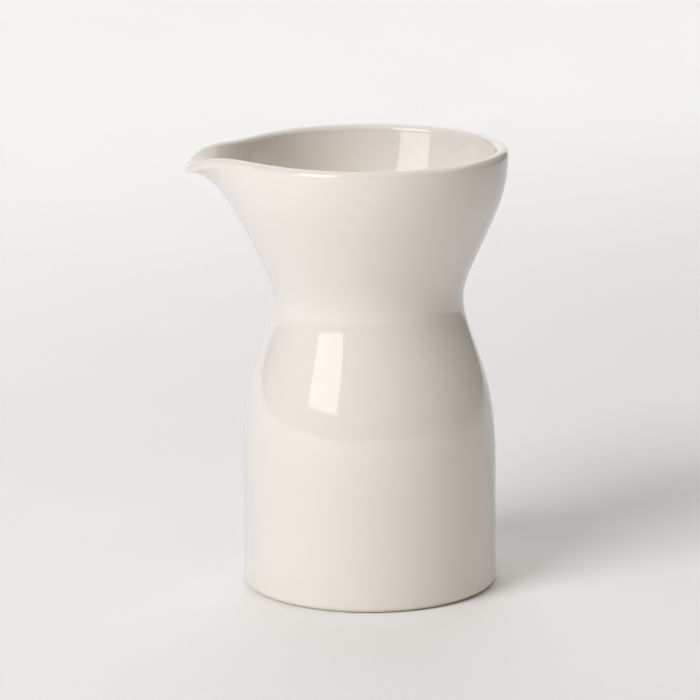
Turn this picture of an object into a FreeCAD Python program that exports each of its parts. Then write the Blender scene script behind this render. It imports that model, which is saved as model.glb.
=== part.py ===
import FreeCAD, Part
import math
import os

# Porcelain cream jug: a slip-cast, waisted body with a flared mouth and a pinched
# pouring spout, glazed inside and out except for the wiped foot ring it stands on.
# Millimetres, +Z up. The origin is the centre of the foot ring's contact plane, on the
# jug's axis, and the spout points along -X.

SIZES = (
    ("wall_length", 38.2, "height of the nearly straight wall above the table"),
    ("shoulder_length", 33.4, "height from the top of that wall to the waist"),
    ("flare_length", 34.5, "height from the waist to the centre of the lip"),
    ("base_radius", 31.0, "outside radius just above the foot edge"),
    ("wall_top_radius", 30.6, "outside radius at the top of the wall"),
    ("waist_radius", 23.05, "outside radius at the waist"),
    ("rim_radius", 33.9, "outside radius at the lip, away from the spout"),
    ("wall_thickness", 3.9, "finished wall, glaze on both sides included"),
    ("lip_thickness", 3.1, "finished wall at the lip, away from the spout"),
    ("lip_taper_length", 8.0, "height below the lip over which the wall thins to it"),
    ("floor_thickness", 3.2, "finished floor, from the recess to the inside"),
    ("inner_corner_radius", 8.0, "sweep between the inside wall and the floor"),
    ("foot_edge_radius", 2.0, "rounded outside edge of the foot"),
    ("contact_width", 4.5, "width of the bare ring that touches the table"),
    ("recess_depth", 1.8, "depth of the recess inside the foot ring"),
    ("recess_corner_radius", 1.2, "rounded inner corner of the recess"),
    ("foot_inner_radius", 0.8, "rounded inside edge of the foot ring"),
    ("spout_reach", 9.1, "how far the pinched spout stands out from the rim"),
    ("spout_drop", 3.2, "how far the tip of the spout dips below the rim"),
    ("spout_lip_thickness", 1.8, "lip at the tip of the spout"),
    ("glaze_thickness", 0.25, "coat of glaze on each face"),
    ("glaze_line", 0.8, "height above the table where the glaze is wiped away"),
)

# The S of the outline: share of the way to the next radius, at each quarter of the height.
SHOULDER_SHARES = (0.14, 0.43, 0.80)
FLARE_SHARES = (0.25, 0.61, 0.905)

# The spout swells out of the flare with a high power of the height, so that it only shows
# near the rim. Spreads are the angles, in degrees, of its bell-shaped plan.
SPOUT_SPREAD = 14.0
SPOUT_WIDENING = 0.83
SPOUT_POWER = 5.0
TIP_SPREAD = 8.0
TIP_POWER = 11.5
TAPER_POWER = 6.0

# Stations of the surface: round the jug, up each stretch, and round each edge.
AROUND = 40
SPOUT_CROWDING = 0.7
WALL_STEPS = 5
SHOULDER_STEPS = 6
FLARE_STEPS = 12
LIP_STEPS = 8
CORNER_STEPS = 6
BARE_EDGE_STEPS = 3
GLAZED_EDGE_STEPS = 2
SMALL_STEP = 1e-4

# The inside wall's lowest station stays this many corner radii above the floor.
CORNER_CLEARANCE = 1.2

# How closely a round edge has to match a radius and a height to be the one meant.
SAME_EDGE = 0.01


def make_sheet(doc):
    """The driving dimensions, one named cell each."""
    sheet = doc.addObject("Spreadsheet::Sheet", "sizes")
    for row, (name, value, meaning) in enumerate(SIZES, start=1):
        sheet.set(f"A{row}", meaning)
        sheet.set(f"B{row}", str(value))
        sheet.setAlias(f"B{row}", name)
    doc.recompute()
    return sheet


def make_outline(sheet):
    """The round part of the outside as radius over height; the curve's parameter is the height."""
    wall_top = sheet.wall_length
    waist = wall_top + sheet.shoulder_length
    rim = waist + sheet.flare_length
    middle_radius = (sheet.base_radius + sheet.wall_top_radius) / 2
    points = [(sheet.base_radius, sheet.foot_edge_radius)]
    points.append((middle_radius, (sheet.foot_edge_radius + wall_top) / 2))
    points.append((sheet.wall_top_radius, wall_top))
    stretches = (
        (wall_top, sheet.shoulder_length, sheet.wall_top_radius, sheet.waist_radius, SHOULDER_SHARES),
        (waist, sheet.flare_length, sheet.waist_radius, sheet.rim_radius, FLARE_SHARES),
    )
    for start, length, radius_below, radius_above, shares in stretches:
        for quarter, share in enumerate(shares, start=1):
            radius = radius_below + (radius_above - radius_below) * share
            points.append((radius, start + length * quarter / 4))
        points.append((radius_above, start + length))
    outline = Part.BSplineCurve()
    upright = FreeCAD.Vector(0, 0, 1)
    outline.interpolate(
        Points=[FreeCAD.Vector(radius, 0, height) for radius, height in points],
        Parameters=[height for _, height in points],
        InitialTangent=upright,
        FinalTangent=upright,
        Scale=False,
    )
    return outline, waist, rim


class Skin:
    """The jug's surface at one depth under the finished glaze: outside, lip and inside."""

    def __init__(self, sheet, depth):
        self.sheet = sheet
        self.depth = depth
        self.outline, self.waist, self.rim = make_outline(sheet)
        self.floor = sheet.recess_depth + sheet.floor_thickness

    def flare_share(self, height):
        share = (height - self.waist) / self.sheet.flare_length
        return min(max(share, 0.0), 1.0)

    def outside(self, angle, height):
        """A point of the glazed outside; angle 0 is the middle of the spout."""
        share = self.flare_share(height)
        spread = math.radians(SPOUT_SPREAD * (1 + SPOUT_WIDENING * (1 - share)))
        swell = math.exp(-0.5 * (angle / spread) ** 2) * share**SPOUT_POWER
        dip = self.tip(angle) * share**TIP_POWER
        radius = self.outline.value(height).x + self.sheet.spout_reach * swell
        return self.placed(radius, angle, height - self.sheet.spout_drop * dip)

    @staticmethod
    def placed(radius, angle, height):
        return FreeCAD.Vector(-radius * math.cos(angle), -radius * math.sin(angle), height)

    @staticmethod
    def tip(angle):
        return math.exp(-0.5 * (angle / math.radians(TIP_SPREAD)) ** 2)

    def frame(self, angle, height):
        """The outside point, its outward normal and its upward direction in the wall."""
        low = max(height - SMALL_STEP, self.sheet.foot_edge_radius)
        high = min(height + SMALL_STEP, self.rim)
        along = self.outside(angle + SMALL_STEP, height) - self.outside(angle - SMALL_STEP, height)
        upward = self.outside(angle, high) - self.outside(angle, low)
        normal = along.cross(upward).normalize()
        rise = upward - normal * upward.dot(normal)
        rise = rise - along * (rise.dot(along) / along.dot(along))
        return self.outside(angle, height), normal, rise.normalize()

    def half_wall(self, angle, height):
        """Half the wall's thickness: it thins to the lip, and more at the tip of the spout."""
        taper = self.sheet.lip_taper_length
        near_lip = max(height - self.rim + taper, 0.0) / taper
        wall = self.sheet.wall_thickness
        wall -= (wall - self.sheet.lip_thickness) * near_lip**2
        pinch = self.tip(angle) * self.flare_share(height) ** TAPER_POWER
        return (wall - (wall - self.sheet.spout_lip_thickness) * pinch) / 2

    def across_wall(self, angle, height, turn):
        """A point at the wall's surface: turn 0 is outside, 90 the top of the lip, 180 inside."""
        point, normal, rise = self.frame(angle, height)
        half = self.half_wall(angle, height)
        reach = half - self.depth
        tilt = math.radians(turn)
        return point + normal * (reach * math.cos(tilt) - half) + rise * (reach * math.sin(tilt))

    def foot_edge(self, angle, turn):
        """A point of the rounded foot edge; turn 0 is at the wall, 90 at the table."""
        edge = self.sheet.foot_edge_radius
        tilt = math.radians(turn)
        radius = self.sheet.base_radius - self.depth - edge + edge * math.cos(tilt)
        return self.placed(radius, angle, edge - edge * math.sin(tilt))

    def inner_corner(self, angle, turn):
        """A point of the sweep between the inside wall (turn 0) and the floor (turn 90)."""
        sweep = self.sheet.inner_corner_radius
        centre_height = self.floor + sweep
        wall = self.outline.value(centre_height).x - self.sheet.wall_thickness
        tilt = math.radians(turn)
        reach = sweep + self.depth
        height = centre_height - reach * math.sin(tilt)
        return self.placed(wall - sweep + reach * math.cos(tilt), angle, height)

    def heights(self):
        """Heights of the outside stations, crowding together toward the lip."""
        start = self.sheet.foot_edge_radius
        wall_top = self.sheet.wall_length
        values = [start + (wall_top - start) * i / WALL_STEPS for i in range(1, WALL_STEPS)]
        values += [
            wall_top + (self.waist - wall_top) * i / SHOULDER_STEPS
            for i in range(SHOULDER_STEPS)
        ]
        values += [
            self.waist + self.sheet.flare_length * math.sin(math.pi / 2 * i / FLARE_STEPS)
            for i in range(FLARE_STEPS)
        ]
        return values

    def rows(self):
        """A function of the angle for each station, from the table up, over the lip and down."""
        edge = self.sheet.foot_edge_radius
        line_turn = math.degrees(math.asin(1 - self.sheet.glaze_line / edge))
        bare = [
            90 + (line_turn - 90) * i / BARE_EDGE_STEPS for i in range(BARE_EDGE_STEPS)
        ]
        glazed = [
            line_turn * (1 - i / GLAZED_EDGE_STEPS) for i in range(GLAZED_EDGE_STEPS + 1)
        ]
        rows = [lambda angle, turn=turn: self.foot_edge(angle, turn) for turn in bare + glazed]
        heights = self.heights()
        rows += [lambda angle, z=z: self.across_wall(angle, z, 0) for z in heights]
        turns = [180 * i / LIP_STEPS for i in range(LIP_STEPS + 1)]
        rows += [lambda angle, turn=turn: self.across_wall(angle, self.rim, turn) for turn in turns]
        sweep = self.sheet.inner_corner_radius
        clear = self.floor + sweep * CORNER_CLEARANCE
        inside = [z for z in reversed(heights) if z > clear]
        rows += [lambda angle, z=z: self.across_wall(angle, z, 180) for z in inside]
        corner = [90 * i / CORNER_STEPS for i in range(CORNER_STEPS + 1)]
        rows += [lambda angle, turn=turn: self.inner_corner(angle, turn) for turn in corner]
        return rows

    def surface(self):
        """One smooth surface through every station, and its parameter at the glaze line."""
        shares = [i / AROUND for i in range(AROUND + 1)]
        angles = [
            2 * math.pi * w - SPOUT_CROWDING * math.sin(2 * math.pi * w) for w in shares
        ]
        wrapped = [a if a <= math.pi else a - 2 * math.pi for a in angles[:AROUND]]
        rows = self.rows()
        grid = [[row(angle) for angle in wrapped] for row in rows]
        back = [row[AROUND // 2] for row in grid]
        lengths = [0.0]
        for below, above in zip(back, back[1:]):
            lengths.append(lengths[-1] + below.distanceToPoint(above))
        rings = []
        for points in grid:
            ring = Part.BSplineCurve()
            ring.interpolate(Points=points, PeriodicFlag=True, Parameters=shares)
            rings.append(ring)
        ring_poles = [ring.getPoles() for ring in rings]
        columns = []
        for i in range(len(ring_poles[0])):
            column = Part.BSplineCurve()
            column.interpolate(Points=[poles[i] for poles in ring_poles], Parameters=lengths)
            columns.append(column)
        surface = Part.BSplineSurface()
        surface.buildFromPolesMultsKnots(
            [column.getPoles() for column in columns],
            rings[0].getMultiplicities(),
            columns[0].getMultiplicities(),
            rings[0].getKnots(),
            columns[0].getKnots(),
            True,
            False,
            3,
            3,
        )
        return surface, lengths[BARE_EDGE_STEPS], lengths[-1]


def ring_edge(surface, at):
    return surface.vIso(at).toShape()


def disc(surface, at):
    return Part.Face(Part.Wire(ring_edge(surface, at)))


def band(surface, start, end):
    return surface.toShape(0, 1, start, end)


def closed_solid(faces):
    """Sew faces that meet edge to edge into one solid."""
    shell = Part.makeShell(faces)
    shell.sewShape()
    solid = Part.makeSolid(shell.Shells[0])
    if solid.Volume < 0:
        solid.reverse()
    return solid


def make_biscuit_blank(doc, sheet):
    """The fired clay without its glaze, still solid under the floor."""
    surface, line, end = Skin(sheet, sheet.glaze_thickness).surface()
    blank = doc.addObject("Part::Feature", "biscuit_blank")
    blank.Shape = closed_solid(
        [disc(surface, 0), band(surface, 0, line), band(surface, line, end), disc(surface, end)]
    )
    return blank


def make_glaze_coat(doc, sheet):
    """One glass skin from the wipe line up the outside, over the lip and across the floor."""
    clay, clay_line, clay_end = Skin(sheet, sheet.glaze_thickness).surface()
    gloss, gloss_line, gloss_end = Skin(sheet, 0.0).surface()
    wiped_edge = Part.Face(
        [Part.Wire(ring_edge(gloss, gloss_line)), Part.Wire(ring_edge(clay, clay_line))]
    )
    wiped_edge.validate()
    coat = doc.addObject("Part::Feature", "glaze_coat")
    coat.Shape = closed_solid(
        [
            band(gloss, gloss_line, gloss_end),
            disc(gloss, gloss_end),
            band(clay, clay_line, clay_end),
            disc(clay, clay_end),
            wiped_edge,
        ]
    )
    coat.Placement = FreeCAD.Placement()
    return coat


def circle_edges(shape, radius, height):
    """Numbers of the round edges of that radius at that height."""
    found = []
    for number, edge in enumerate(shape.Edges, start=1):
        box = edge.BoundBox
        level = abs(box.ZMin - height) < SAME_EDGE and abs(box.ZMax - height) < SAME_EDGE
        if level and abs(box.XMax - radius) < SAME_EDGE:
            found.append(number)
    return found


def rounded(doc, name, base, circle, radius):
    """A fillet on the circle (radius, height) of a base feature."""
    doc.recompute()
    fillet = doc.addObject("Part::Fillet", name)
    fillet.Base = base
    fillet.Edges = [(number, radius, radius) for number in circle_edges(base.Shape, *circle)]
    return fillet


RECESS_RADIUS = "sizes.base_radius - sizes.foot_edge_radius - sizes.contact_width"


def make_recess_plug(doc, sheet, name, inset):
    """The space inside the foot ring, smaller by an inset at its side and ceiling."""
    plug = doc.addObject("Part::Cylinder", f"{name}_core")
    plug.setExpression("Radius", f"{RECESS_RADIUS} - {inset}")
    plug.setExpression("Height", f"sizes.recess_depth - {inset}")
    doc.recompute()
    top = plug.Height.Value
    corner = sheet.recess_corner_radius - (sheet.recess_depth - top)
    return rounded(doc, name, plug, (plug.Radius.Value, top), corner)


def make_porcelain_body(doc, sheet, blank):
    """The clay body: the blank with the recess taken out and the foot ring's edge eased."""
    plug = make_recess_plug(doc, sheet, "recess_plug", "0")
    hollowed = doc.addObject("Part::Cut", "recessed_blank")
    hollowed.Base = blank
    hollowed.Tool = plug
    ring_inside = sheet.base_radius - sheet.foot_edge_radius - sheet.contact_width
    return rounded(doc, "porcelain_body", hollowed, (ring_inside, 0), sheet.foot_inner_radius)


def make_underside_glaze(doc, sheet):
    """The glazed lining of the recess, wiped away above the foot ring's eased edge."""
    lining = doc.addObject("Part::Cut", "recess_lining")
    lining.Base = make_recess_plug(doc, sheet, "lining_outside", "0")
    lining.Tool = make_recess_plug(doc, sheet, "lining_inside", "sizes.glaze_thickness")
    wiped = doc.addObject("Part::Cylinder", "wiped_zone")
    wiped.setExpression("Radius", "sizes.base_radius")
    wiped.setExpression("Height", "max(sizes.glaze_line; sizes.foot_inner_radius)")
    glaze = doc.addObject("Part::Cut", "underside_glaze")
    glaze.Base = lining
    glaze.Tool = wiped
    return glaze


def check_document(doc, sub_parts):
    doc.recompute()
    for item in doc.Objects:
        if "Invalid" in item.State or "Error" in item.State:
            raise RuntimeError(f"{item.Name} failed to compute: {item.State}")
    for item in sub_parts:
        if item.Shape.isNull() or not item.Shape.isValid() or item.Shape.Volume <= 0:
            raise RuntimeError(f"{item.Label} isn't a valid solid")


def main():
    doc = FreeCAD.newDocument("cream_jug")
    sheet = make_sheet(doc)
    blank = make_biscuit_blank(doc, sheet)
    sub_parts = [
        make_porcelain_body(doc, sheet, blank),
        make_glaze_coat(doc, sheet),
        make_underside_glaze(doc, sheet),
    ]
    for item in sub_parts:
        item.Label = item.Name
    check_document(doc, sub_parts)
    os.makedirs("parts", exist_ok=True)
    for item in sub_parts:
        item.Shape.exportStep(f"parts/{item.Label}.step")
        size = item.Shape.BoundBox
        print(
            f"{item.Label}: {len(item.Shape.Solids)} solid, "
            f"{size.XLength:.2f} x {size.YLength:.2f} x {size.ZLength:.2f} mm, "
            f"z {size.ZMin:.2f} to {size.ZMax:.2f}"
        )


main()
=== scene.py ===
import math

import bpy
import numpy as np
from mathutils import Matrix, Vector


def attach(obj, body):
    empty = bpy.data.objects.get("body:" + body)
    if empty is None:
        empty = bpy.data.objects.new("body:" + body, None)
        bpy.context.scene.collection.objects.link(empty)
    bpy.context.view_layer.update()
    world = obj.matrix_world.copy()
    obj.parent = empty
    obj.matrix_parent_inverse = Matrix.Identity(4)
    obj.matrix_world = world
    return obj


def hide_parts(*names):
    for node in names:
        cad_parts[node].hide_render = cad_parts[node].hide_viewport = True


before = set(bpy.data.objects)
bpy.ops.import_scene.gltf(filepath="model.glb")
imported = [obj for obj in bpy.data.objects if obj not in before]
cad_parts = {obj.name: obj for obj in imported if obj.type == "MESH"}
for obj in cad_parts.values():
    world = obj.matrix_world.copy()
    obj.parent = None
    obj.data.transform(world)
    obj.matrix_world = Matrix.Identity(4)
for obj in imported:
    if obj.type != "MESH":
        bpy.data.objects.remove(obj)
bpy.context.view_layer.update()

MM = 0.001

# The jug's sizes, in metres, as in the CAD source. Angle 0 is the middle of the spout.
WALL_LENGTH = 38.2 * MM
SHOULDER_LENGTH = 33.4 * MM
FLARE_LENGTH = 34.5 * MM
BASE_RADIUS = 31.0 * MM
WALL_TOP_RADIUS = 30.6 * MM
WAIST_RADIUS = 23.05 * MM
RIM_RADIUS = 33.9 * MM
WALL_THICKNESS = 3.9 * MM
LIP_THICKNESS = 3.1 * MM
LIP_TAPER_LENGTH = 8.0 * MM
FLOOR_THICKNESS = 3.2 * MM
INNER_CORNER_RADIUS = 8.0 * MM
FOOT_EDGE_RADIUS = 2.0 * MM
RECESS_DEPTH = 1.8 * MM
SPOUT_REACH = 9.1 * MM
SPOUT_DROP = 3.2 * MM
SPOUT_LIP_THICKNESS = 1.8 * MM
GLAZE_THICKNESS = 0.25 * MM
GLAZE_LINE = 0.8 * MM

# Heights above the table.
WAIST = WALL_LENGTH + SHOULDER_LENGTH
RIM = WAIST + FLARE_LENGTH
FLOOR = RECESS_DEPTH + FLOOR_THICKNESS

# Share of each stretch's change in radius that is done at its first, second and third quarter.
SHOULDER_SHARES = (0.14, 0.43, 0.80)
FLARE_SHARES = (0.25, 0.61, 0.905)

# How wide the spout swells and its tip dips, and how steeply both fade below the rim.
SPOUT_SPREAD = math.radians(14.0)
SPOUT_WIDENING = 0.83
SPOUT_POWER = 5.0
TIP_SPREAD = math.radians(8.0)
TIP_POWER = 11.5
TAPER_POWER = 6.0

# Stations of the glaze skin: round the jug, up each stretch, and round each edge.
AROUND = 192
SPOUT_CROWDING = 0.7
WALL_ROWS = 15
SHOULDER_ROWS = 23
FLARE_ROWS = 36
LIP_ROWS = 20
FOOT_ROWS = 8
CORNER_ROWS = 14
FLOOR_ROWS = 9

# Small steps along and up the surface, which give the direction it faces.
SMALL_TURN = 1e-5
SMALL_RISE = 1e-4 * MM

# The inside rings stop just above the inner corner, at this share of its radius.
CORNER_CLEARANCE = 1.15

# The glaze is sponged off the foot by hand, so its line wanders over the rounded edge: each wave
# has its size in degrees of the edge, its count round the foot, and its shift.
WIPE_WAVES = ((2.5, 3, 1.1), (1.6, 7, 0.4), (1.0, 13, 0.0))

# How far the glaze sags past the clay at its wiped lower edge, as a share of its thickness.
WIPED_ROLL = 0.35

# The glaze skin's attribute that says where the glaze is thin.
THINNESS = "glaze_thinness"

# Colours of the fired surfaces and the stage, as linear light.
CREAM = (0.875, 0.836, 0.793, 1)
CREAM_SHADE = (0.857, 0.817, 0.774, 1)
THIN_CREAM = (0.82, 0.76, 0.69, 1)
IRON_SPECK = (0.32, 0.24, 0.17, 1)
CLAY = (0.80, 0.77, 0.72, 1)
CLAY_SHADE = (0.74, 0.705, 0.65, 1)
TABLE_RUB = (0.42, 0.41, 0.40, 1)
FELT = (0.03, 0.03, 0.03, 1)
FELT_SHADE = (0.02, 0.02, 0.02, 1)
FLOOR_LIGHT = (0.95, 0.95, 0.95, 1)
FLOOR_SHADE = (0.945, 0.945, 0.945, 1)
WHITE = (1, 1, 1, 1)

# The stretch of a noise, from 0 to 1, in which nearly all of it lies.
NOISE_LOW = 0.3
NOISE_HIGH = 0.7

# Glaze: faint clouds, a warmer tone where it is thin, rare specks, slow waves and orange peel.
GLAZE_ROUGHNESS = (0.045, 0.075)
GLAZE_IOR = 1.5
CLOUD_SIZE = 24 * MM
GLOSS_PATCH_SIZE = 9 * MM
THIN_START = 0.3
THIN_SHOWS = 0.5
SPECK_SPACING = 3.5 * MM
SPECK_RADIUS = 0.16 * MM
SPECK_SCARCITY = 0.975
SPECK_SHOWS = 0.35
WAVE_SIZE = 16 * MM
WAVE_DEPTH = 0.05 * MM
PEEL_SIZE = 1.3 * MM
PEEL_DEPTH = 0.0008 * MM

# Bare clay: mottled and gritty, with grey rubs at the bottom, where it meets the table.
CLAY_ROUGHNESS = (0.72, 0.88)
CLAY_IOR = 1.5
MOTTLE_SIZE = 5 * MM
MATT_PATCH_SIZE = 2 * MM
RUB_SIZE = 1.8 * MM
RUB_RANGE = (0.5, 0.75)
RUB_HEIGHT = 0.25 * MM
RUB_SHOWS = 0.5
GRIT_SIZE = 0.25 * MM
GRIT_DEPTH = 0.02 * MM

# Tabletop, with sizes in metres.
FLOOR_SIZE = 30
FLOOR_ROUGHNESS = (0.55, 0.7)
FLOOR_IOR = 1.45
FLOOR_CLOUD_SIZE = 0.4
FLOOR_PATCH_SIZE = 0.05
FLOOR_GRAIN_SIZE = 0.6 * MM
FLOOR_GRAIN_DEPTH = 0.004 * MM

# Painted glow: the tabletop's own material gives off light, rising with distance from the jug, so
# that it runs out to plain white.
PAINTED_GLOW_START = 0.1
PAINTED_GLOW_FULL = 0.6
PAINTED_GLOW_BRIGHTNESS = 0.1

# Felt on the black board.
FELT_ROUGHNESS = (0.85, 0.95)
FELT_IOR = 1.4
FELT_CLOUD_SIZE = 2 * MM
FELT_PATCH_SIZE = 5 * MM
FELT_NAP_SIZE = 1 * MM
FELT_NAP_DEPTH = 0.2 * MM

# Places of the sockets on a colour Mix node, where several share a name.
MIX_SHARE = 0
MIX_FIRST = 6
MIX_SECOND = 7
MIX_COLOUR = 2


def clamped_spline(knots, values):
    """A smooth cubic through the points that ends upright at both ends."""
    knots, values = np.array(knots), np.array(values)
    gaps = np.diff(knots)
    count = len(knots)
    system = np.eye(count)
    target = np.zeros(count)
    for i in range(1, count - 1):
        left, right = 1 / gaps[i - 1], 1 / gaps[i]
        system[i, i - 1 : i + 2] = left, 2 * (left + right), right
        rise_left = (values[i] - values[i - 1]) * left**2
        rise_right = (values[i + 1] - values[i]) * right**2
        target[i] = 3 * (rise_left + rise_right)
    slopes = np.linalg.solve(system, target)

    def value(at):
        at = np.asarray(at, float)
        i = np.clip(np.searchsorted(knots, at) - 1, 0, count - 2)
        gap = gaps[i]
        t = (at - knots[i]) / gap
        start = (2 * t**3 - 3 * t**2 + 1) * values[i] + (t**3 - 2 * t**2 + t) * gap * slopes[i]
        end = (3 * t**2 - 2 * t**3) * values[i + 1] + (t**3 - t**2) * gap * slopes[i + 1]
        return start + end

    return value


def make_outline():
    """Outside radius over height, away from the spout."""
    points = [
        (FOOT_EDGE_RADIUS, BASE_RADIUS),
        ((FOOT_EDGE_RADIUS + WALL_LENGTH) / 2, (BASE_RADIUS + WALL_TOP_RADIUS) / 2),
        (WALL_LENGTH, WALL_TOP_RADIUS),
    ]
    stretches = (
        (WALL_LENGTH, SHOULDER_LENGTH, WALL_TOP_RADIUS, WAIST_RADIUS, SHOULDER_SHARES),
        (WAIST, FLARE_LENGTH, WAIST_RADIUS, RIM_RADIUS, FLARE_SHARES),
    )
    for start, length, below, above, shares in stretches:
        for quarter, share in enumerate(shares, start=1):
            points.append((start + length * quarter / 4, below + (above - below) * share))
        points.append((start + length, above))
    return clamped_spline(*zip(*points))


OUTLINE = make_outline()


def placed(radius, angle, height):
    """Points at a radius, angle and height; angle 0 is toward -X."""
    return np.stack([-radius * np.cos(angle), -radius * np.sin(angle), height + 0 * angle], -1)


def flare_share(height):
    """How far up the flare a height is: 0 up to the waist, 1 at the rim."""
    return min(max((height - WAIST) / FLARE_LENGTH, 0.0), 1.0)


def tip(angle):
    """How near an angle is to the tip of the spout: 1 at the tip, fading to 0."""
    return np.exp(-0.5 * (angle / TIP_SPREAD) ** 2)


def outside(angle, height):
    """Points of the glazed outside at one height."""
    share = flare_share(height)
    spread = SPOUT_SPREAD * (1 + SPOUT_WIDENING * (1 - share))
    swell = np.exp(-0.5 * (angle / spread) ** 2) * share**SPOUT_POWER
    radius = OUTLINE(height) + SPOUT_REACH * swell
    return placed(radius, angle, height - SPOUT_DROP * tip(angle) * share**TIP_POWER)


def unit(vectors):
    return vectors / np.linalg.norm(vectors, axis=-1, keepdims=True)


def half_wall(angle, height):
    """Half the wall's thickness: it thins to the lip, and more at the tip of the spout."""
    near_lip = max(height - RIM + LIP_TAPER_LENGTH, 0.0) / LIP_TAPER_LENGTH
    wall = WALL_THICKNESS - (WALL_THICKNESS - LIP_THICKNESS) * near_lip**2
    pinch = tip(angle) * flare_share(height) ** TAPER_POWER
    return (wall - (wall - SPOUT_LIP_THICKNESS) * pinch) / 2


def across_wall(angle, height, turn, depth):
    """Points at the wall's surface: turn 0 is outside, 90 the top of the lip, 180 inside."""
    low = max(height - SMALL_RISE, FOOT_EDGE_RADIUS)
    high = min(height + SMALL_RISE, RIM)
    along = outside(angle + SMALL_TURN, height) - outside(angle - SMALL_TURN, height)
    upward = outside(angle, high) - outside(angle, low)
    normal = unit(np.cross(along, upward))
    along = unit(along)
    rise = unit(upward - along * np.sum(upward * along, axis=-1, keepdims=True))
    half = half_wall(angle, height)[:, None]
    tilt = math.radians(turn)
    reach = half - depth
    return (
        outside(angle, height)
        + normal * (reach * math.cos(tilt) - half)
        + rise * reach * math.sin(tilt)
    )


def foot_edge(angle, turn, depth):
    """Points of the rounded foot edge; turn 0 is at the wall, 90 at the table."""
    tilt = np.radians(turn)
    radius = BASE_RADIUS - depth - FOOT_EDGE_RADIUS + FOOT_EDGE_RADIUS * np.cos(tilt)
    return placed(radius, angle, FOOT_EDGE_RADIUS * (1 - np.sin(tilt)))


def inner_corner(angle, turn, depth):
    """Points of the sweep between the inside wall and the floor."""
    centre = FLOOR + INNER_CORNER_RADIUS
    wall = OUTLINE(centre) - WALL_THICKNESS
    reach = INNER_CORNER_RADIUS + depth
    tilt = math.radians(turn)
    radius = wall - INNER_CORNER_RADIUS + reach * math.cos(tilt)
    return placed(radius + 0 * angle, angle, centre - reach * math.sin(tilt))


def station_heights():
    """Heights of the outside's rings above the foot edge, crowding together toward the lip."""
    heights = list(np.linspace(FOOT_EDGE_RADIUS, WALL_LENGTH, WALL_ROWS + 1)[1:-1])
    heights += list(np.linspace(WALL_LENGTH, WAIST, SHOULDER_ROWS + 1)[:-1])
    quarter_turn = np.linspace(0, math.pi / 2, FLARE_ROWS + 1)[:-1]
    heights += list(WAIST + FLARE_LENGTH * np.sin(quarter_turn))
    return heights


def foot_rows(angle, depth):
    """Rings from the wipe line up round the foot edge, each with how thin the glaze is there."""
    line_turn = math.degrees(math.asin(1 - GLAZE_LINE / FOOT_EDGE_RADIUS))
    wander = sum(size * (np.sin(waves * angle + shift) + 1) for size, waves, shift in WIPE_WAVES)
    rows = []
    for thinness in np.linspace(1, 0, FOOT_ROWS):
        rows.append((foot_edge(angle, (line_turn - wander / 2) * thinness, depth), thinness))
    return rows


def skin_rows(angle, depth):
    """Rings from the wipe line over the lip to the floor, and the middle of the floor."""
    rows = foot_rows(angle, depth)
    heights = station_heights()
    rows += [(across_wall(angle, height, 0, depth), 0.0) for height in heights]
    for turn in np.linspace(0, 180, LIP_ROWS + 1):
        rows.append((across_wall(angle, RIM, turn, depth), math.sin(math.radians(turn))))
    clear = FLOOR + INNER_CORNER_RADIUS * CORNER_CLEARANCE
    inside = [height for height in reversed(heights) if height > clear]
    rows += [(across_wall(angle, height, 180, depth), 0.0) for height in inside]
    for turn in np.linspace(0, 90, CORNER_ROWS + 1):
        rows.append((inner_corner(angle, turn, depth), 0.0))
    edge = rows[-1][0]
    middle = np.array([0.0, 0.0, edge[0, 2]])
    for share in np.linspace(1, 0, FLOOR_ROWS + 1)[1:-1]:
        rows.append((middle + (edge - middle) * share, 0.0))
    return rows, (middle[None], 0.0)


def skin_faces(rings):
    """Quads between the rings, and a fan at each end round the last two points."""
    ahead = [(i, (i + 1) % AROUND) for i in range(AROUND)]
    faces = []
    for ring in range(rings - 1):
        low, high = ring * AROUND, (ring + 1) * AROUND
        faces += [(low + i, low + j, high + j, high + i) for i, j in ahead]
    last = (rings - 1) * AROUND
    clay_middle, gloss_middle = rings * AROUND, rings * AROUND + 1
    faces += [(clay_middle, j, i) for i, j in ahead]
    faces += [(gloss_middle, last + i, last + j) for i, j in ahead]
    return faces


def make_glaze():
    """The glaze coat as one closed skin: its gloss side and, under it, its clay side."""
    turn = 2 * math.pi * np.arange(AROUND) / AROUND
    angle = turn - SPOUT_CROWDING * np.sin(turn)
    angle = np.where(angle > math.pi, angle - 2 * math.pi, angle)
    gloss, gloss_middle = skin_rows(angle, 0.0)
    clay, clay_middle = skin_rows(angle, GLAZE_THICKNESS)
    rolled = (gloss[0][0] + clay[0][0]) / 2 - np.array([0, 0, GLAZE_THICKNESS * WIPED_ROLL])
    rings = clay[::-1] + [(rolled, 1.0)] + gloss
    everything = rings + [clay_middle, gloss_middle]
    points = np.concatenate([ring for ring, thinness in everything])
    thinness = np.concatenate([np.full(len(ring), thin) for ring, thin in everything])
    mesh = bpy.data.meshes.new("glaze_skin")
    mesh.from_pydata(points.tolist(), [], skin_faces(len(rings)))
    mesh.polygons.foreach_set("use_smooth", [True] * len(mesh.polygons))
    mesh.attributes.new(THINNESS, "FLOAT", "POINT").data.foreach_set("value", thinness)
    mesh.update()
    glaze = bpy.data.objects.new("glaze_skin", mesh)
    bpy.context.scene.collection.objects.link(glaze)
    return glaze


def add_node(tree, kind, inputs=None, **settings):
    """A node with its settings; each input gets a number, a colour or another node's output."""
    node = tree.nodes.new("ShaderNode" + kind)
    for name, value in settings.items():
        setattr(node, name, value)
    for socket, value in (inputs or {}).items():
        if isinstance(value, bpy.types.NodeSocket):
            tree.links.new(value, node.inputs[socket])
        else:
            node.inputs[socket].default_value = value
    return node


def math_node(tree, operation, *values):
    return add_node(tree, "Math", dict(enumerate(values)), operation=operation).outputs[0]


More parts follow.
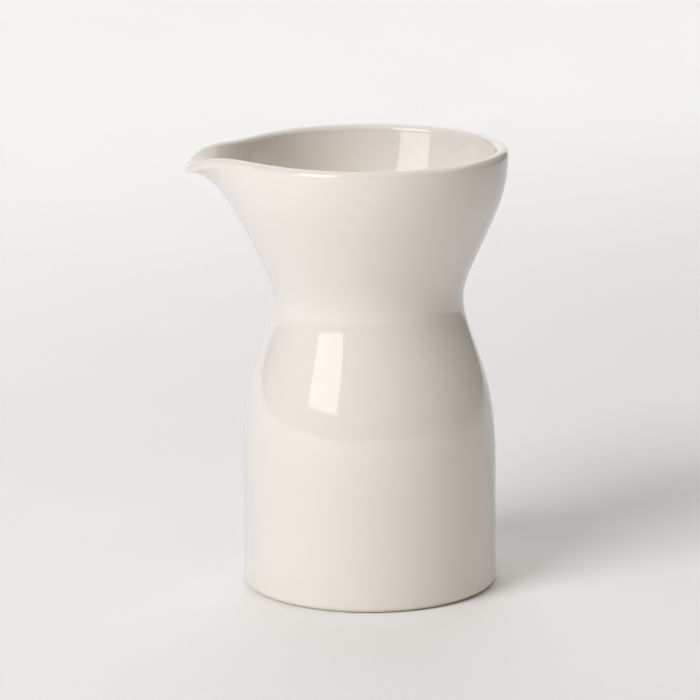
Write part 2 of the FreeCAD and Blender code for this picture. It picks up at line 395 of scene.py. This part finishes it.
def noise(tree, size, detail=2.0):
    """Smooth noise from 0 to 1 whose patches are about the given size, in metres."""
    where = add_node(tree, "TexCoord").outputs["Object"]
    settings = {"Vector": where, "Scale": 1 / size, "Detail": detail}
    return add_node(tree, "TexNoise", settings).outputs["Fac"]


def ramp(tree, value, start, end, low=0.0, high=1.0):
    """A value between two ends, eased and turned into another range."""
    ends = {"Value": value, "From Min": start, "From Max": end, "To Min": low, "To Max": high}
    return add_node(tree, "MapRange", ends, interpolation_type="SMOOTHSTEP").outputs["Result"]


def uneven(tree, size, span, detail=2.0):
    """A value that wanders over the span in patches of the given size."""
    return ramp(tree, noise(tree, size, detail), NOISE_LOW, NOISE_HIGH, *span)


def blend_colour(tree, share, first, second):
    colours = {MIX_SHARE: share, MIX_FIRST: first, MIX_SECOND: second}
    return add_node(tree, "Mix", colours, data_type="RGBA").outputs[MIX_COLOUR]


def bump(tree, height, distance, under=None):
    """Relief of the given depth, in metres, on top of any relief under it."""
    inputs = {"Height": height, "Distance": distance}
    if under is not None:
        inputs["Normal"] = under
    return add_node(tree, "Bump", inputs).outputs["Normal"]


def specks(tree, spacing, radius, scarcity):
    """A mask of tiny spots: one in some of the cells of a grid with the given spacing."""
    where = add_node(tree, "TexCoord").outputs["Object"]
    cells = add_node(tree, "TexVoronoi", {"Vector": where, "Scale": 1 / spacing})
    spot = ramp(tree, cells.outputs["Distance"], radius / spacing, radius / spacing / 2)
    chosen = add_node(tree, "SeparateColor", {"Color": cells.outputs["Color"]}).outputs["Red"]
    return math_node(tree, "MULTIPLY", spot, math_node(tree, "GREATER_THAN", chosen, scarcity))


def new_material(name, roughness, ior):
    """A material and its node tree, with the shader's fixed numbers set on its own sockets."""
    material = bpy.data.materials.new(name)
    material.use_nodes = True
    tree = material.node_tree
    shader = tree.nodes["Principled BSDF"]
    shader.inputs["Roughness"].default_value = sum(roughness) / 2
    shader.inputs["IOR"].default_value = ior
    return material, tree, shader


def finish_shader(tree, shader, colour, roughness, normal):
    tree.links.new(colour, shader.inputs["Base Color"])
    tree.links.new(roughness, shader.inputs["Roughness"])
    tree.links.new(normal, shader.inputs["Normal"])


def glaze_material():
    """Cream gloss: faint clouds, a warmer tone where it thins, rare specks, a fired surface."""
    material, tree, shader = new_material("cream_glaze", GLAZE_ROUGHNESS, GLAZE_IOR)
    clouds = blend_colour(tree, noise(tree, CLOUD_SIZE, detail=3.0), CREAM_SHADE, CREAM)
    thin = add_node(tree, "Attribute", attribute_name=THINNESS).outputs["Fac"]
    thin = math_node(tree, "MULTIPLY", ramp(tree, thin, THIN_START, 1.0), THIN_SHOWS)
    colour = blend_colour(tree, thin, clouds, THIN_CREAM)
    spots = specks(tree, SPECK_SPACING, SPECK_RADIUS, SPECK_SCARCITY)
    spots = math_node(tree, "MULTIPLY", spots, SPECK_SHOWS)
    colour = blend_colour(tree, spots, colour, IRON_SPECK)
    roughness = uneven(tree, GLOSS_PATCH_SIZE, GLAZE_ROUGHNESS, detail=3.0)
    waves = bump(tree, noise(tree, WAVE_SIZE, detail=1.0), WAVE_DEPTH)
    peel = bump(tree, noise(tree, PEEL_SIZE), PEEL_DEPTH, waves)
    finish_shader(tree, shader, colour, roughness, peel)
    return material


def biscuit_material():
    """Bare fired clay: matt and finely gritty, with grey rubs where it meets the table."""
    material, tree, shader = new_material("bare_biscuit", CLAY_ROUGHNESS, CLAY_IOR)
    clay = blend_colour(tree, noise(tree, MOTTLE_SIZE, detail=4.0), CLAY_SHADE, CLAY)
    where = add_node(tree, "TexCoord").outputs["Object"]
    height = add_node(tree, "SeparateXYZ", {"Vector": where}).outputs["Z"]
    touching = ramp(tree, height, RUB_HEIGHT, 0.0)
    rubs = ramp(tree, noise(tree, RUB_SIZE, detail=5.0), *RUB_RANGE)
    rubs = math_node(tree, "MULTIPLY", rubs, touching)
    rubs = math_node(tree, "MULTIPLY", rubs, RUB_SHOWS)
    colour = blend_colour(tree, rubs, clay, TABLE_RUB)
    roughness = uneven(tree, MATT_PATCH_SIZE, CLAY_ROUGHNESS, detail=3.0)
    grit = bump(tree, noise(tree, GRIT_SIZE, detail=3.0), GRIT_DEPTH)
    finish_shader(tree, shader, colour, roughness, grit)
    return material


def floor_material():
    """A pale matt tabletop with the faintest unevenness, and a painted glow in its own material that
    rises away from the jug.
    """
    material, tree, shader = new_material("pale_floor", FLOOR_ROUGHNESS, FLOOR_IOR)
    colour = blend_colour(tree, noise(tree, FLOOR_CLOUD_SIZE, detail=3.0), FLOOR_SHADE, FLOOR_LIGHT)
    roughness = uneven(tree, FLOOR_PATCH_SIZE, FLOOR_ROUGHNESS, detail=3.0)
    grain = bump(tree, noise(tree, FLOOR_GRAIN_SIZE), FLOOR_GRAIN_DEPTH)
    where = add_node(tree, "TexCoord").outputs["Object"]
    away = add_node(tree, "VectorMath", {0: where}, operation="LENGTH").outputs["Value"]
    # Painted glow: the floor's own emission, none near the jug and rising to full brightness further
    # out.
    painted_glow = ramp(tree, away, PAINTED_GLOW_START, PAINTED_GLOW_FULL, 0.0, PAINTED_GLOW_BRIGHTNESS)
    shader.inputs["Emission Color"].default_value = WHITE
    tree.links.new(painted_glow, shader.inputs["Emission Strength"])
    finish_shader(tree, shader, colour, roughness, grain)
    return material


def flag_material():
    """Black felt on a board."""
    material, tree, shader = new_material("black_felt", FELT_ROUGHNESS, FELT_IOR)
    colour = blend_colour(tree, noise(tree, FELT_CLOUD_SIZE, detail=3.0), FELT_SHADE, FELT)
    roughness = uneven(tree, FELT_PATCH_SIZE, FELT_ROUGHNESS)
    nap = bump(tree, noise(tree, FELT_NAP_SIZE), FELT_NAP_DEPTH)
    finish_shader(tree, shader, colour, roughness, nap)
    return material


def set_material(obj, material):
    obj.data.materials.clear()
    obj.data.materials.append(material)


glaze = make_glaze()
gloss = glaze_material()
set_material(glaze, gloss)
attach(glaze, "root")
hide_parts("glaze_coat")
set_material(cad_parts["porcelain_body"], biscuit_material())
set_material(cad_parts["underside_glaze"], gloss)


def make_floor():
    """The tabletop that the jug stands on."""
    bpy.ops.mesh.primitive_plane_add(size=FLOOR_SIZE)
    floor = bpy.context.object
    floor.name = "floor"
    set_material(floor, floor_material())


make_floor()

# Camera: about 1 m away and 13 degrees above level, turned a little toward the spout's side. The
# point that it aims at is turned about the jug's axis with it.
CAMERA_DISTANCE = 1.0144
CAMERA_ELEVATION = math.radians(13.04)
CAMERA_AZIMUTH = math.radians(-7.4)
CAMERA_ROLL = math.radians(-0.45)
AIM = Vector((-4.55 * MM, 0, 57.7 * MM))
LENS = 214.9
SENSOR = 36


def side_turn(vector, angle):
    """A vector turned about the jug's axis."""
    return Matrix.Rotation(angle, 3, "Z") @ vector


def make_camera():
    """The camera, rolled slightly about its line of sight."""
    data = bpy.data.cameras.new("camera")
    data.sensor_width = SENSOR
    data.lens = LENS
    camera = bpy.data.objects.new("camera", data)
    bpy.context.scene.collection.objects.link(camera)
    level, rise = math.cos(CAMERA_ELEVATION), math.sin(CAMERA_ELEVATION)
    back = side_turn(Vector((0, -level, rise)), CAMERA_AZIMUTH)
    camera.location = side_turn(AIM, CAMERA_AZIMUTH) + back * CAMERA_DISTANCE
    aim = (-back).to_track_quat("-Z", "Y").to_matrix().to_4x4()
    camera.rotation_euler = (aim @ Matrix.Rotation(CAMERA_ROLL, 4, "Z")).to_euler()
    bpy.context.scene.camera = camera


make_camera()

NEUTRAL = (1.0, 1.0, 1.0)
WARM = (1.0, 0.75, 0.45)

# Studio: soft panels round the table, by azimuth from the camera's side (left negative) and
# elevation in degrees, each with its colour and brightness. Between them the room is dark, and
# their edges are soft by the given degrees each way.
PANELS = (
    ("window_top", (-62, -28), (25, 55), NEUTRAL, 3.2),
    ("front", (-28, 75), (25, 55), WARM, 0.4),
    ("back", (80, 210), (25, 55), NEUTRAL, 1.2),
    ("low_back", (115, 210), (0, 25), NEUTRAL, 1.05),
    ("overhead", (-180, 180), (55, 90), NEUTRAL, 0.77),
)
PANEL_SOFTNESS = 2.5

# Height on the jug, in metres, that a softbox is aimed at.
WINDOW_LEVEL = 0.06

# Black board: the azimuths of its two ends in degrees, their distance, and its height in metres.
FLAG_SIDES = (75, 155)
FLAG_DISTANCE = 0.7
FLAG_HEIGHT = 0.6

# The jug's inside is lit by light that bounces many times between its pale walls.
ALL_BOUNCES = 16
MATT_BOUNCES = 12


def sky_angles(tree):
    """The azimuth and elevation, in degrees, of each direction in the studio."""
    where = add_node(tree, "TexCoord").outputs["Generated"]
    turn = {"Vector": where, "Angle": -CAMERA_AZIMUTH}
    turned = add_node(tree, "VectorRotate", turn, rotation_type="Z_AXIS").outputs["Vector"]
    parts = add_node(tree, "SeparateXYZ", {"Vector": turned}).outputs
    front = math_node(tree, "MULTIPLY", parts["Y"], -1.0)
    azimuth = math_node(tree, "ARCTAN2", parts["X"], front)
    elevation = math_node(tree, "ARCSINE", parts["Z"])
    return [math_node(tree, "DEGREES", angle) for angle in (azimuth, elevation)]


def within(tree, distance, span):
    """A mask of the directions nearer to the middle of a span than its ends are."""
    half_width = (span[1] - span[0]) / 2
    return ramp(tree, distance, half_width + PANEL_SOFTNESS, half_width - PANEL_SOFTNESS)


def panel_light(tree, azimuth, elevation, sides, rise):
    """A mask that is 1 inside the panel and fades out over its edges."""
    turned = math_node(tree, "SUBTRACT", azimuth, sum(sides) / 2)
    turned = math_node(tree, "WRAP", turned, 180.0, -180.0)
    aside = math_node(tree, "ABSOLUTE", turned)
    level = math_node(tree, "SUBTRACT", elevation, sum(rise) / 2)
    above = math_node(tree, "ABSOLUTE", level)
    return math_node(tree, "MULTIPLY", within(tree, above, rise), within(tree, aside, sides))


def make_studio():
    """The room's light; the camera itself sees only plain white beyond the floor."""
    world = bpy.data.worlds.new("studio")
    bpy.context.scene.world = world
    world.use_nodes = True
    tree = world.node_tree
    azimuth, elevation = sky_angles(tree)
    total = None
    for name, sides, rise, colour, brightness in PANELS:
        mask = panel_light(tree, azimuth, elevation, sides, rise)
        tint = {0: colour, "Scale": math_node(tree, "MULTIPLY", mask, brightness)}
        lit = add_node(tree, "VectorMath", tint, operation="SCALE", label=name).outputs["Vector"]
        if total is not None:
            lit = add_node(tree, "VectorMath", {0: total, 1: lit}, operation="ADD").outputs["Vector"]
        total = lit
    seen = add_node(tree, "LightPath").outputs["Is Camera Ray"]
    colour = blend_colour(tree, seen, total, WHITE)
    tree.links.new(colour, tree.nodes["Background"].inputs["Color"])


def softbox(name, azimuth, elevation, distance, width, height, power):
    """A soft light aimed at the jug, placed by azimuth and elevation like the panels."""
    data = bpy.data.lights.new(name, "AREA")
    data.shape = "RECTANGLE"
    data.size, data.size_y = width, height
    data.energy = power
    light = bpy.data.objects.new(name, data)
    bpy.context.scene.collection.objects.link(light)
    rise = math.radians(elevation)
    level = Vector((0, -math.cos(rise), math.sin(rise)))
    back = side_turn(level, math.radians(azimuth) + CAMERA_AZIMUTH)
    light.location = Vector((0, 0, WINDOW_LEVEL)) + back * distance
    light.rotation_euler = (-back).to_track_quat("-Z", "Y").to_euler()
    light.visible_camera = False


def make_flag():
    """A black board standing on the table to the right, which only the gloss shows."""
    flag_ends = []
    for azimuth in FLAG_SIDES:
        reach = side_turn(Vector((0, -FLAG_DISTANCE, 0)), math.radians(azimuth) + CAMERA_AZIMUTH)
        flag_ends.append(reach)
    top = Vector((0, 0, FLAG_HEIGHT))
    corners = [flag_ends[0], flag_ends[1], flag_ends[1] + top, flag_ends[0] + top]
    mesh = bpy.data.meshes.new("flag")
    mesh.from_pydata([tuple(corner) for corner in corners], [], [(0, 1, 2, 3)])
    flag = bpy.data.objects.new("flag", mesh)
    bpy.context.scene.collection.objects.link(flag)
    set_material(flag, flag_material())
    flag.visible_camera = False


make_studio()
make_flag()
softbox("key_window", azimuth=-46, elevation=29, distance=3.0, width=1.6, height=2.0, power=37.5)
bpy.context.scene.view_settings.view_transform = "Standard"
bpy.context.scene.cycles.max_bounces = ALL_BOUNCES
bpy.context.scene.cycles.diffuse_bounces = MATT_BOUNCES
